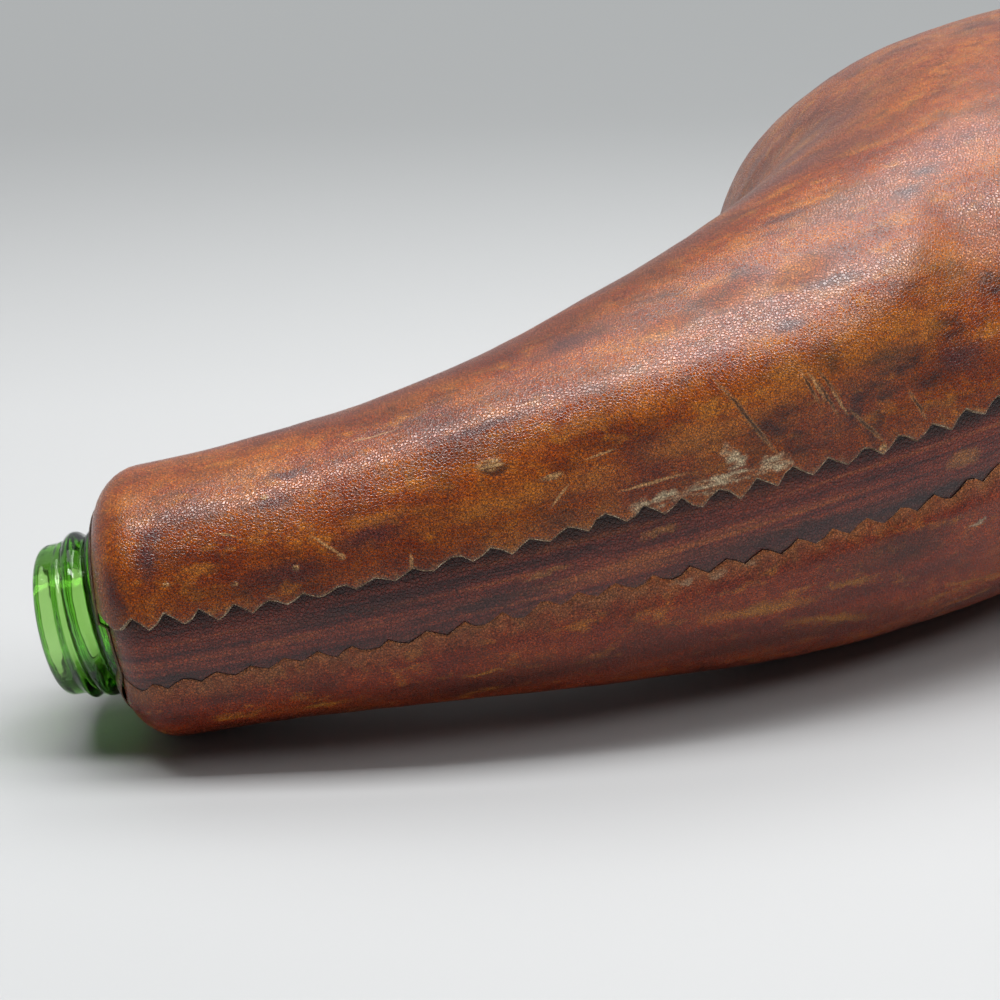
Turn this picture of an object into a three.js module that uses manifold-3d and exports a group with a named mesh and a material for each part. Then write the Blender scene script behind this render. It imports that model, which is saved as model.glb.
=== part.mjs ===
// A leather-wrapped glass decanter, lying on its side as it is kept on a table.
// A green bottle with a screw mouth and a bent neck has its slim neck built up with packing.
// Two leather panels close round it, and their pinked edges lap a leather strip on each side.
// Millimetres. The centreline leaves the neck end along +X and bends towards +Y, Z is across
// the flattened body, and the last group lays the whole thing down on the table at Z = 0.
import * as THREE from 'three';
import Module from 'manifold-3d';

// Outside of the leather, at even steps along the centreline from the neck end to the base
const wrapLength = 264;
const halfWidths = [22.2, 22.8, 22.8, 27, 34.5, 47, 72, 71, 64];
const halfThicknesses = [22.2, 23.1, 29.2, 36.9, 43.6, 48.3, 52.6, 51.5, 47];
const stationStep = wrapLength / (halfWidths.length - 1);

// Centreline of neck and body
const neckStraight = 38;
const bendRadius = 155;
const bendAngle = THREE.MathUtils.degToRad(50);

// Leather wrap
const panelThickness = 2.6;
const stripThickness = 1.4;
const stripWidth = 11.8;
const stripLap = 4;
const toothPitch = 5.8;
const toothDepth = 2.2;
const neckEndDepth = 5;
const heelRadius = 22;
const washerThickness = 1.2;
const washerReach = THREE.MathUtils.degToRad(55);
const soleThickness = 3.4;
const rebateOverrun = THREE.MathUtils.degToRad(8);
const clearance = 0.3;

// Glass bottle
const glassWall = 4;
const neckGlassRadius = 12.4;
const boreRadius = 9.2;
const finishLength = 13.2;
const lipLength = 3.2;
const lipRound = 1.8;
const threadPitch = 3.6;
const threadHeight = 1.3;
const threadLead = THREE.MathUtils.degToRad(155);
const swellStart = 45;
const swellEnd = 115;
const packingEnd = 98;

// Fineness of the rings
const seamSteps = 2;
const crownSteps = 8;
const ringStep = 14;
const cornerSteps = 4;
const threadSteps = 6;

const { clamp, lerp, smoothstep } = THREE.MathUtils;
const crestRadius = neckGlassRadius + threadHeight;
const neckEndDrop = halfWidths[0] - crestRadius - clearance;
const glassInset = panelThickness + clearance;
const stripReach = stripWidth / 2 + stripLap;
const quarterTurn = Math.PI / 2;

function countTo(count, item) {
  return Array.from({ length: count }, (_, i) => item(i));
}

// Weight of one station at a distance of t steps from it: a uniform cubic B-spline
function stationWeight(t) {
  const u = Math.abs(t);
  if (u < 1) return 2 / 3 - u * u + u ** 3 / 2;
  return u < 2 ? (2 - u) ** 3 / 6 : 0;
}

// Smooth curve over the stations, which starts and ends on its first and last value
function smoothAlong(values, s) {
  const last = values.length - 1;
  const before = 2 * values[0] - values[1];
  const after = 2 * values[last] - values[last - 1];
  const t = clamp(s / stationStep, 0, last);
  return [before, ...values, after].reduce((sum, value, i) => sum + value * stationWeight(t - i + 1), 0);
}

// Point of the centreline at s, and the direction across it towards the far side
function centreline(s) {
  const turn = clamp((s - neckStraight) / bendRadius, 0, bendAngle);
  const straight = Math.max(s - neckStraight - bendRadius * bendAngle, 0);
  const x = Math.min(s, neckStraight) + bendRadius * Math.sin(turn) + straight * Math.cos(bendAngle);
  const y = bendRadius * (1 - Math.cos(turn)) + straight * Math.sin(bendAngle);
  return { point: new THREE.Vector3(x, y, 0), across: new THREE.Vector3(-Math.sin(turn), Math.cos(turn), 0) };
}

// Point at an angle round the section at s: 0 is the near edge, a quarter turn is the top
function sectionPoint(s, [halfWidth, halfThickness], angle) {
  const { point, across } = centreline(s);
  point.addScaledVector(across, -halfWidth * Math.cos(angle));
  point.z = halfThickness * Math.sin(angle);
  return point;
}

// A mark is a place along the wrap: it gives the station s there, and how far the leather is
// drawn in from the smooth outside, at any depth below the surface of the leather
const sideMark = (s) => (depth) => ({ s, inset: depth });

const neckEndMark = (phi) => (depth) => ({
  s: depth + (neckEndDepth - depth) * (1 - Math.sin(phi)),
  inset: depth + (neckEndDrop - depth) * (1 - Math.cos(phi)),
});

const heelMark = (phi) => (depth) => ({
  s: wrapLength - heelRadius + (heelRadius - depth) * Math.sin(phi),
  inset: depth + (heelRadius - depth) * (1 - Math.cos(phi)),
});

const sideLength = wrapLength - heelRadius - neckEndDepth;
const sideSteps = Math.ceil(sideLength / ringStep);
const neckEndMarks = countTo(cornerSteps, (i) => neckEndMark(quarterTurn * (1 - i / cornerSteps)));
const sideMarks = countTo(sideSteps + 1, (i) => sideMark(neckEndDepth + (sideLength * i) / sideSteps));
const heelMarks = countTo(cornerSteps, (i) => heelMark((quarterTurn * (i + 1)) / cornerSteps));
const wrapMarks = [...neckEndMarks, ...sideMarks, ...heelMarks];

function wrapSizes(mark, depth) {
  const { s, inset } = mark(depth);
  return [smoothAlong(halfWidths, s) - inset, smoothAlong(halfThicknesses, s) - inset];
}

// Angles round half a section at a mark, with even lines across both strips
function halfAngles(mark) {
  const edge = wrapSizes(mark, 0)[1];
  const seam = countTo(seamSteps + 1, (j) => (stripReach * j) / seamSteps / edge);
  const rim = seam.pop();
  const crown = countTo(crownSteps + 1, (j) => lerp(rim, Math.PI - rim, j / crownSteps));
  return [...seam, ...crown, ...seam.map((angle) => Math.PI - angle).reverse()];
}

function ringAngles(mark) {
  const upper = halfAngles(mark).slice(0, -1);
  return [...upper, ...upper.map((angle) => angle + Math.PI)];
}

function ring(mark, depth, sizes = wrapSizes(mark, depth)) {
  return ringAngles(mark).map((angle) => sectionPoint(mark(depth).s, sizes, angle));
}

// Closed body through rings of equal count: capped at both ends, or joined last to first.
// Each four-sided face is split along its shorter diagonal, so that layers stay parallel.
function loft(rings, joined = false) {
  const points = rings.flat();
  const sides = rings[0].length;
  const last = rings.length - 1;
  const at = (i, j) => (i % rings.length) * sides + (j % sides);
  const faces = [];
  const addQuad = (a, b, c, d) => {
    const straight = points[a].distanceTo(points[c]) <= points[b].distanceTo(points[d]);
    faces.push(...(straight ? [a, b, c, a, c, d] : [a, b, d, b, c, d]));
  };
  for (let i = 0; i < (joined ? rings.length : last); i++) {
    for (let j = 0; j < sides; j++) {
      addQuad(at(i, j), at(i + 1, j), at(i + 1, j + 1), at(i, j + 1));
    }
  }
  for (let j = 0; !joined && j < sides / 2 - 1; j++) {
    const opposite = sides - 1 - j;
    addQuad(at(0, j), at(0, j + 1), at(0, opposite - 1), at(0, opposite));
    addQuad(at(last, j), at(last, opposite), at(last, opposite - 1), at(last, j + 1));
  }
  return new THREE.BufferGeometry().setFromPoints(points).setIndex(faces);
}

const wasm = await Module();
wasm.setup();

function solid(geometry) {
  const vertProperties = geometry.getAttribute('position').array;
  const triVerts = new Uint32Array(geometry.getIndex().array);
  return new wasm.Manifold(new wasm.Mesh({ numProp: 3, vertProperties, triVerts }));
}

function subtract(geometry, cutters) {
  const body = cutters.reduce((rest, cutter) => rest.subtract(solid(cutter)), solid(geometry));
  const { vertProperties, triVerts } = body.getMesh();
  const result = new THREE.BufferGeometry();
  result.setAttribute('position', new THREE.BufferAttribute(vertProperties, 3));
  return result.setIndex(new THREE.BufferAttribute(triVerts, 1));
}

// Glass bottle: a threaded round neck that swells into the flattened body, open at the mouth
function glassSizes(mark, depth, neckRadius) {
  const swell = smoothstep(mark(depth).s, swellStart, swellEnd);
  return wrapSizes(mark, depth).map((size) => lerp(neckRadius, size, swell));
}

function roundRing(s, radius) {
  return ring(sideMark(s), 0, [radius, radius]);
}

// Right-hand screw thread, which fades in below the lip and out above the leather
function threadRing(s) {
  const start = -finishLength + lipLength;
  const fade = smoothstep(s, start, start + threadPitch / 2) * smoothstep(-s, 0, threadPitch / 2);
  return ringAngles(sideMark(s)).map((angle) => {
    const turns = (s - start) / threadPitch + (angle + threadLead) / (2 * Math.PI);
    const radius = neckGlassRadius + threadHeight * fade * (0.5 - 0.5 * Math.cos(2 * Math.PI * turns));
    return sectionPoint(s, [radius, radius], angle);
  });
}

function glassBottle() {
  const mouth = -finishLength;
  const lip = countTo(cornerSteps + 1, (i) => {
    const phi = (quarterTurn * i) / cornerSteps;
    return roundRing(mouth + lipRound * (1 - Math.cos(phi)), neckGlassRadius - lipRound * (1 - Math.sin(phi)));
  });
  const threadStep = threadPitch / threadSteps;
  const threadCount = Math.ceil((finishLength - lipLength) / threadStep);
  const innerDepth = glassInset + glassWall;
  const glassMarks = [...sideMarks, ...heelMarks];
  const inside = glassMarks.map((mark) => ring(mark, innerDepth, glassSizes(mark, innerDepth, boreRadius)));
  const outside = glassMarks.map((mark) => ring(mark, glassInset, glassSizes(mark, glassInset, neckGlassRadius)));
  return loft([
    ...inside.reverse(),
    roundRing(mouth, boreRadius),
    ...lip,
    ...countTo(threadCount, (i) => threadRing(mouth + lipLength + i * threadStep)),
    roundRing(0, neckGlassRadius),
    ...outside,
  ]);
}

// Packing: a sleeve that fills the space between the slim glass neck and the leather
function neckPacking() {
  const start = neckEndDepth + clearance;
  const between = sideMarks.filter((mark) => mark(0).s > start && mark(0).s < packingEnd);
  const marks = [sideMark(start), ...between, sideMark(packingEnd)];
  const outside = marks.map((mark) => ring(mark, glassInset));
  const inside = marks.map((mark) => {
    const sizes = glassSizes(mark, glassInset, neckGlassRadius);
    return ring(mark, glassInset, sizes.map((size) => size + clearance));
  });
  return loft([...outside, ...inside.reverse()], true);
}

// Leather washer round the mouth, glued over the turned-in ends of the panels
function neckWasher() {
  const marks = countTo(cornerSteps, (i) => neckEndMark(lerp(quarterTurn, washerReach, i / (cornerSteps - 1))));
  const outside = marks.map((mark) => ring(mark, -clearance - washerThickness));
  const inside = marks.map((mark) => ring(mark, -clearance));
  return loft([...outside, ...inside.reverse()], true);
}

// Strip along one side under the panels' edges: turn is 0 on the near side, half a turn on the far
function stripBody(turn, marks = wrapMarks, spread = 0) {
  const lines = countTo(2 * seamSteps + 1, (j) => (j / seamSteps - 1) * stripReach);
  lines[0] -= spread;
  lines[2 * seamSteps] += spread;
  const row = (mark, depth) => lines.map((height) => {
    const angle = turn + height / wrapSizes(mark, 0)[1];
    return sectionPoint(mark(depth).s, wrapSizes(mark, depth), angle);
  });
  const top = panelThickness - stripThickness - spread;
  const bottom = panelThickness + spread;
  return loft(marks.map((mark) => [...row(mark, top), ...row(mark, bottom).reverse()]));
}

// Zigzag bar from the centreline out through one side, which pinks the panels' edges
function pinkingBar(turn) {
  const halfPitch = toothPitch / 2;
  const spare = 2;
  const count = Math.ceil(wrapLength / halfPitch) + 2 * spare;
  return loft(countTo(count, (k) => {
    const s = (k - spare) * halfPitch;
    const swing = ((k % 2) - 0.5) * toothDepth;
    const reach = smoothAlong(halfWidths, s) + toothPitch;
    const corner = (halfWidth, height) => {
      const point = sectionPoint(s, [halfWidth, 0], turn);
      return point.setZ((height + swing) * Math.cos(turn));
    };
    const edge = stripWidth / 2;
    return [corner(reach, -edge), corner(reach, edge), corner(0, edge), corner(0, -edge)];
  }));
}

// Panel over one half of the wrap, rebated for both strips and pinked along both sides
function leatherPanel(turn) {
  const row = (mark, depth) => halfAngles(mark).map((angle) =>
    sectionPoint(mark(depth).s, wrapSizes(mark, depth), turn + angle));
  const shell = loft(wrapMarks.map((mark) => [...row(mark, 0), ...row(mark, panelThickness).reverse()]));
  const sides = [0, Math.PI];
  const pastEnd = quarterTurn + rebateOverrun;
  const rebateMarks = [neckEndMark(pastEnd), ...wrapMarks, heelMark(pastEnd)];
  const rebates = sides.map((side) => stripBody(side, rebateMarks, clearance));
  return subtract(shell, [...rebates, ...sides.map(pinkingBar)]);
}

// Sole: a flat leather piece inside the turned-under heel, proud of it so that the decanter can stand
function baseSole() {
  const flat = heelMark(quarterTurn);
  const sizes = wrapSizes(flat, 0).map((size) => size - clearance);
  return loft([ring(flat, panelThickness, sizes), ring(flat, panelThickness - soleThickness, sizes)]);
}

function piece(name, geometry, color, roughness, opacity = 1) {
  geometry.computeVertexNormals();
  const material = new THREE.MeshStandardMaterial({ color, roughness, metalness: 0 });
  material.opacity = opacity;
  material.transparent = opacity < 1;
  const mesh = new THREE.Mesh(geometry, material);
  mesh.name = name;
  return mesh;
}

const bottle = new THREE.Group();
bottle.add(piece('glass_bottle', glassBottle(), 0x4f8a34, 0.08, 0.6));
bottle.add(piece('neck_packing', neckPacking(), 0xa98f6a, 0.95));

const wrap = new THREE.Group();
wrap.add(piece('near_strip', stripBody(0), 0x4e2a24, 0.45));
wrap.add(piece('far_strip', stripBody(Math.PI), 0x4e2a24, 0.45));
wrap.add(piece('upper_panel', leatherPanel(0), 0x7c4224, 0.4));
wrap.add(piece('lower_panel', leatherPanel(Math.PI), 0x6a3420, 0.42));
wrap.add(piece('neck_washer', neckWasher(), 0x8a5a35, 0.6));
wrap.add(piece('base_sole', baseSole(), 0x5a3220, 0.7));

// Lying on a table: tilted until the neck end and the fattest part of the belly both touch it
const restTilt = Math.max(...sideMarks.slice(1).map((mark) => {
  const rise = wrapSizes(mark, 0)[1] - wrapSizes(sideMarks[0], 0)[1];
  return Math.atan2(rise, centreline(mark(0).s).point.x - neckEndDepth);
}));
const lying = new THREE.Group();
lying.add(bottle, wrap);
lying.rotation.y = -restTilt;

const decanter = new THREE.Group();
decanter.add(lying);
const reach = new THREE.Box3().setFromObject(decanter, true);
const middle = reach.getCenter(new THREE.Vector3());
lying.position.set(-middle.x, -middle.y, -reach.min.z);

export default decanter;
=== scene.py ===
import math

import bmesh
import bpy
from mathutils import Matrix, Vector, noise


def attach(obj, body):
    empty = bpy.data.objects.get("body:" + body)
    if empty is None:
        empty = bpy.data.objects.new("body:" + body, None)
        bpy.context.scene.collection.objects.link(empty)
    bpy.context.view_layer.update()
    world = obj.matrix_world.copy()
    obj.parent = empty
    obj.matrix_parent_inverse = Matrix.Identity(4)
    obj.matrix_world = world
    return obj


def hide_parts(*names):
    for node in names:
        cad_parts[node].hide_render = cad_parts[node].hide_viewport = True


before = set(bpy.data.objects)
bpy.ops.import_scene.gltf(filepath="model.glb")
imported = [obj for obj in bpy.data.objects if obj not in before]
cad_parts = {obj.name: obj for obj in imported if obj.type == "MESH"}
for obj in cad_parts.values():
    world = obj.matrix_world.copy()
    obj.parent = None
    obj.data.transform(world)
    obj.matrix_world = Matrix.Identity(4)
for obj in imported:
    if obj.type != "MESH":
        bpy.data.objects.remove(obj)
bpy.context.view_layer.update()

# Glass bottle. One moulded piece of green bottle glass: a screw mouth on a slim neck, which
# swells into a flattened body that bends to one side. The leather hides all but the mouth.
wrap_length = 0.264
half_widths = (0.0222, 0.0228, 0.0228, 0.0270, 0.0345, 0.0470, 0.0720, 0.0710, 0.0640)
half_thicknesses = (0.0222, 0.0231, 0.0292, 0.0369, 0.0436, 0.0483, 0.0526, 0.0515, 0.0470)
neck_straight = 0.038
bend_radius = 0.155
bend_angle = math.radians(50)
neck_end_depth = 0.005
neck_end_drop = 0.0082
neck_end_fullness = 0.0026
heel_radius = 0.022
quarter = math.pi / 2
lying_place = (-0.119013, -0.067664, 0.021118)
lying_tilt = -0.176100
lying = Matrix.Translation(lying_place) @ Matrix.Rotation(lying_tilt, 4, "Y")


def smooth_along(stations, along):
    """Smooth curve over even stations from the neck end to the base."""
    last = len(stations) - 1
    ends = (2 * stations[0] - stations[1], *stations, 2 * stations[last] - stations[last - 1])
    place = min(max(along / wrap_length * last, 0), last)
    total = 0
    for i, value in enumerate(ends):
        gap = abs(place - i + 1)
        if gap < 1:
            total += value * (2 / 3 - gap * gap + gap**3 / 2)
        elif gap < 2:
            total += value * (2 - gap) ** 3 / 6
    return total


def on_section(along, width, thickness, angle):
    """Point round the flattened section: angle 0 is the near side, a quarter turn the top."""
    turn = min(max((along - neck_straight) / bend_radius, 0), bend_angle)
    straight = max(along - neck_straight - bend_radius * bend_angle, 0)
    x = min(along, neck_straight) + bend_radius * math.sin(turn) + straight * math.cos(bend_angle)
    y = bend_radius * (1 - math.cos(turn)) + straight * math.sin(bend_angle)
    reach = width * math.cos(angle)
    point = Vector((x + reach * math.sin(turn), y - reach * math.cos(turn), thickness * math.sin(angle)))
    return lying @ point


def side_at(along):
    return lambda depth: (along, depth)


def neck_end_at(turn):
    return lambda depth: (
        neck_end_depth - (neck_end_depth + neck_end_fullness - depth) * math.sin(turn),
        depth + (neck_end_drop - depth) * (1 - math.cos(turn)),
    )


def heel_at(turn):
    return lambda depth: (
        wrap_length - heel_radius + (heel_radius - depth) * math.sin(turn),
        depth + (heel_radius - depth) * (1 - math.cos(turn)),
    )


def wrap_sizes(place, depth):
    """Where a place is along the wrap at a depth below its surface, and the half sizes there."""
    along, inset = place(depth)
    return along, smooth_along(half_widths, along) - inset, smooth_along(half_thicknesses, along) - inset


def ramp_up(value, low, high):
    share = min(max((value - low) / (high - low), 0), 1)
    return share * share * (3 - 2 * share)


def laid_sheet(rows, columns, put):
    """Flat sheet of rows by columns with each corner put in its place, and the corners' spots."""
    sheet = bmesh.new()
    bmesh.ops.create_grid(sheet, x_segments=rows, y_segments=columns, size=0.5)
    spots = []
    for corner in sheet.verts:
        spot = round((corner.co.x + 0.5) * rows), round((corner.co.y + 0.5) * columns)
        corner.co = put(*spot)
        spots.append(spot)
    return sheet, spots


def close_up(shell):
    """Joins the seam and the poles of a shell and turns its faces outwards."""
    bmesh.ops.remove_doubles(shell, verts=shell.verts, dist=1e-6)
    bmesh.ops.dissolve_degenerate(shell, edges=shell.edges, dist=1e-7)
    bmesh.ops.recalc_face_normals(shell, faces=shell.faces)
    return shell


def make_piece(name, shell, finishes, node):
    mesh = bpy.data.meshes.new(name)
    shell.to_mesh(mesh)
    shell.free()
    for finish in finishes:
        mesh.materials.append(finish)
    mesh.shade_smooth()
    piece = bpy.data.objects.new(name, mesh)
    bpy.context.scene.collection.objects.link(piece)
    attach(piece, "root")
    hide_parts(node)
    return piece


def add_node(tree, kind, values=None, **settings):
    """Adds one node of a finish; values are numbers, colours or outputs of earlier nodes."""
    node = tree.nodes.new("ShaderNode" + kind)
    for name, value in settings.items():
        setattr(node, name, value)
    for name, value in (values or {}).items():
        if isinstance(value, bpy.types.NodeSocket):
            tree.links.new(value, node.inputs[name])
        else:
            node.inputs[name].default_value = value
    return node


def new_finish(name):
    finish = bpy.data.materials.new(name)
    finish.use_nodes = True
    finish.node_tree.nodes.clear()
    return finish, finish.node_tree


glass_inset = 0.0029
glass_wall = 0.004
neck_radius = 0.0124
bore_radius = 0.0092
finish_length = 0.0132
lip_length = 0.0032
lip_round = 0.0018
bore_round = 0.0008
thread_pitch = 0.0036
thread_height = 0.0013
thread_lead = math.radians(155)
thread_roundness = 0.8
swell_start = 0.045
swell_end = 0.115
body_start = 0.006
body_length = 0.236
bottle_sides = 96
body_steps = 59
base_steps = 8
bore_steps = 6
lip_steps = 8
thread_steps = 60


def glass_row(place, depth, neck):
    along, width, thickness = wrap_sizes(place, depth)
    swell = ramp_up(along, swell_start, swell_end)
    return along, neck + (width - neck) * swell, neck + (thickness - neck) * swell


def thread_rise(along, angle):
    start = lip_length - finish_length
    if not start < along < 0:
        return 0
    fade = ramp_up(along, start, start + thread_pitch / 2) * ramp_up(-along, 0, thread_pitch / 2)
    turns = (along - start) / thread_pitch + (angle + thread_lead) / (2 * math.pi)
    return thread_height * fade * abs(math.sin(math.pi * turns)) ** thread_roundness


body_places = [side_at(body_start + body_length * i / body_steps) for i in range(body_steps + 1)]
body_places += [heel_at(quarter * i / base_steps) for i in range(1, base_steps + 1)]
inner_rows = [glass_row(place, glass_inset + glass_wall, bore_radius) for place in body_places[::-1]]
outer_rows = [glass_row(place, glass_inset, neck_radius) for place in body_places]
bore_rows = []
for i in range(bore_steps + 1):
    turn = quarter * i / bore_steps
    bore_lip = bore_radius + bore_round * (1 - math.cos(turn))
    bore_rows.append((-finish_length + bore_round * (1 - math.sin(turn)), bore_lip, bore_lip))
lip_rows = []
for i in range(lip_steps + 1):
    turn = quarter * i / lip_steps
    lip = neck_radius - lip_round * (1 - math.sin(turn))
    lip_rows.append((-finish_length + lip_round * (1 - math.cos(turn)), lip, lip))
thread_rows = []
for i in range(thread_steps + 1):
    thread_rows.append(((lip_length - finish_length) * (1 - i / thread_steps), neck_radius, neck_radius))
pole_in = (inner_rows[0][0], 0, 0)
pole_out = (outer_rows[-1][0], 0, 0)
bottle_rows = [pole_in, *inner_rows, *bore_rows, *lip_rows, *thread_rows, *outer_rows, pole_out]
first_outer = 1 + len(inner_rows) + len(bore_rows)


def bottle_corner(row, column):
    along, width, thickness = bottle_rows[row]
    angle = 2 * math.pi * column / bottle_sides
    rise = thread_rise(along, angle) if row >= first_outer else 0
    return on_section(along, width + rise, thickness + rise, angle)


green_glass, tree = new_finish("green_bottle_glass")
object_coords = add_node(tree, "TexCoord").outputs["Object"]
ripple = add_node(tree, "TexNoise", {"Vector": object_coords, "Scale": 260, "Detail": 2})
ripple_bump = add_node(tree, "Bump", {"Height": ripple.outputs[0], "Strength": 0.5, "Distance": 0.0004})
smears = add_node(tree, "TexNoise", {"Vector": object_coords, "Scale": 520, "Detail": 4})
smear_gloss = add_node(tree, "MapRange", {"Value": smears.outputs[0], "From Min": 0.45, "From Max": 0.75,
                                          "To Min": 0.06, "To Max": 0.16})
glass_shader = add_node(tree, "BsdfPrincipled", {
    "Base Color": (0.62, 0.86, 0.46, 1), "Transmission Weight": 1.0, "IOR": 1.5,
    "Roughness": smear_gloss.outputs[0], "Normal": ripple_bump.outputs[0]})
glass_depth = add_node(tree, "VolumeAbsorption", {"Color": (0.42, 0.76, 0.02, 1), "Density": 260.0})
add_node(tree, "OutputMaterial", {
    "Surface": glass_shader.outputs[0], "Volume": glass_depth.outputs[0]})

bottle_shell, _ = laid_sheet(len(bottle_rows) - 1, bottle_sides, bottle_corner)
make_piece("green_bottle", close_up(bottle_shell), [green_glass], "glass_bottle")

# Neck packing. Cotton tape wound round the slim glass neck and stiffened with glue, so that
# the leather has a full round neck to close on. Nothing of it shows on the finished bottle.
packing_start = 0.0053
packing_end = 0.098
packing_clearance = 0.0003
tape_width = 0.012
tape_step = 0.0003
packing_sides = 64
packing_steps = 60
packing_length = packing_end - packing_start
packing_places = [packing_start + packing_length * i / packing_steps for i in range(packing_steps + 1)]
packing_rows = [(True, along) for along in packing_places]
packing_rows += [(False, along) for along in packing_places[::-1]]
packing_rows.append(packing_rows[0])


def packing_corner(row, column):
    outside, along = packing_rows[row]
    angle = 2 * math.pi * column / packing_sides
    if outside:
        _, width, thickness = wrap_sizes(side_at(along), glass_inset)
        wound = -tape_step * ((along / tape_width + angle / (2 * math.pi)) % 1)
        return on_section(along, width + wound, thickness + wound, angle)
    _, width, thickness = glass_row(side_at(along), glass_inset, neck_radius)
    return on_section(along, width + packing_clearance, thickness + packing_clearance, angle)


tape_cloth, tree = new_finish("glued_cotton_tape")
object_coords = add_node(tree, "TexCoord").outputs["Object"]
thread_look = {"Vector": object_coords, "Scale": 520.0, "Distortion": 1.5}
weave = add_node(tree, "TexWave", thread_look, bands_direction="X")
weft = add_node(tree, "TexWave", thread_look, bands_direction="Z")
woven = add_node(tree, "Math", {0: weave.outputs["Fac"], 1: weft.outputs["Fac"]}, operation="MULTIPLY")
glue = add_node(tree, "TexNoise", {"Vector": object_coords, "Scale": 90.0, "Detail": 4.0})
cloth_colour = add_node(tree, "ValToRGB", {"Fac": glue.outputs[0]})
cloth_colour.color_ramp.elements[0].color = (0.24, 0.15, 0.07, 1)
cloth_colour.color_ramp.elements[1].color = (0.52, 0.40, 0.25, 1)
cloth_bump = add_node(tree, "Bump", {"Height": woven.outputs[0], "Strength": 0.8, "Distance": 0.0002})
cloth_shader = add_node(tree, "BsdfPrincipled", {
    "Base Color": cloth_colour.outputs[0], "Roughness": 0.9, "Normal": cloth_bump.outputs[0]})
add_node(tree, "OutputMaterial", {"Surface": cloth_shader.outputs[0]})

packing_shell, _ = laid_sheet(len(packing_rows) - 1, packing_sides, packing_corner)
make_piece("neck_tape", close_up(packing_shell), [tape_cloth], "neck_packing")

# Leather strips. Two dark strips of thin calf, glued along both sides of the bottle under the
# edges of the panels. The long grain is streaked red and purple, and the wax has gone bluish.
strip_depth = 0.0012
strip_thickness = 0.0014
strip_reach = 0.0099
strip_columns = 16
tooth_pitch = 0.00526
tooth_start = 0.00087
row_step = tooth_pitch / 4
first_row = tooth_start + tooth_pitch
neck_end_rows = 10
side_rows = 179
heel_rows = 18
leather_places = [neck_end_at(quarter * (1 - i / neck_end_rows)) for i in range(neck_end_rows)]
leather_places.append(side_at(neck_end_depth))
leather_places += [side_at(first_row + row_step * i) for i in range(side_rows)]
leather_places += [heel_at(quarter * i / heel_rows) for i in range(heel_rows + 1)]
leather_rows = len(leather_places) - 1


def outer_edge(place):
    """Half thickness of the wrap's surface, which turns a height on it into an angle."""
    return wrap_sizes(place, 0)[2]


def laid_length(place):
    """How far along the flat hide a place lies; on the heel the hide goes on round the curve."""
    along = place(0)[0]
    heel_start = wrap_length - heel_radius
    if along <= heel_start:
        return along
    return heel_start + heel_radius * math.asin(min((along - heel_start) / heel_radius, 1))


def leather_skin(rows, columns, put, flat_spot):
    """Open skin of leather, facing outwards, with its place on the flat hide kept as a UV map."""
    skin, spots = laid_sheet(rows, columns, put)
    skin.normal_update()
    middle = on_section(wrap_length / 2, 0, 0, 0)
    outward = sum(face.normal.dot(face.calc_center_median() - middle) for face in skin.faces)
    if outward < 0:
        bmesh.ops.reverse_faces(skin, faces=skin.faces)
    skin.verts.index_update()
    flat = skin.loops.layers.uv.new("laid_flat")
    for face in skin.faces:
        for loop in face.loops:
            loop[flat].uv = flat_spot(*spots[loop.vert.index])
    return skin, spots


def maths(tree, operation, first, second):
    return add_node(tree, "Math", {0: first, 1: second}, operation=operation).outputs[0]


def spread_range(tree, value, low, high, to_low=0.0, to_high=1.0):
    node = add_node(tree, "MapRange", {"Value": value, "From Min": low, "From Max": high,
                                       "To Min": to_low, "To Max": to_high})
    return node.outputs[0]


def tone_ramp(tree, share, tones):
    ramp = add_node(tree, "ValToRGB", {"Fac": share})
    stops = ramp.color_ramp.elements
    stops[0].position, stops[0].color = tones[0][0], (*tones[0][1], 1)
    stops[1].position, stops[1].color = tones[-1][0], (*tones[-1][1], 1)
    for position, colour in tones[1:-1]:
        stops.new(position).color = (*colour, 1)
    return ramp.outputs["Color"]


def worn_marks(tree, laid, marks):
    """Soft marks on the flat hide: along, across, half length, half width in millimetres, slant."""
    strongest = None
    for along, across, length, width, slant in marks:
        placed = add_node(tree, "Mapping", {
            "Vector": laid, "Location": (along / 1000, across / 1000, 0),
            "Rotation": (0, 0, math.radians(slant)), "Scale": (length / 1000, width / 1000, 1)},
            vector_type="TEXTURE")
        spot = add_node(tree, "TexGradient", {"Vector": placed.outputs[0]}, gradient_type="SPHERICAL")
        if strongest is None:
            strongest = spot.outputs["Fac"]
        else:
            strongest = maths(tree, "MAXIMUM", strongest, spot.outputs["Fac"])
    return strongest


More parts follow.
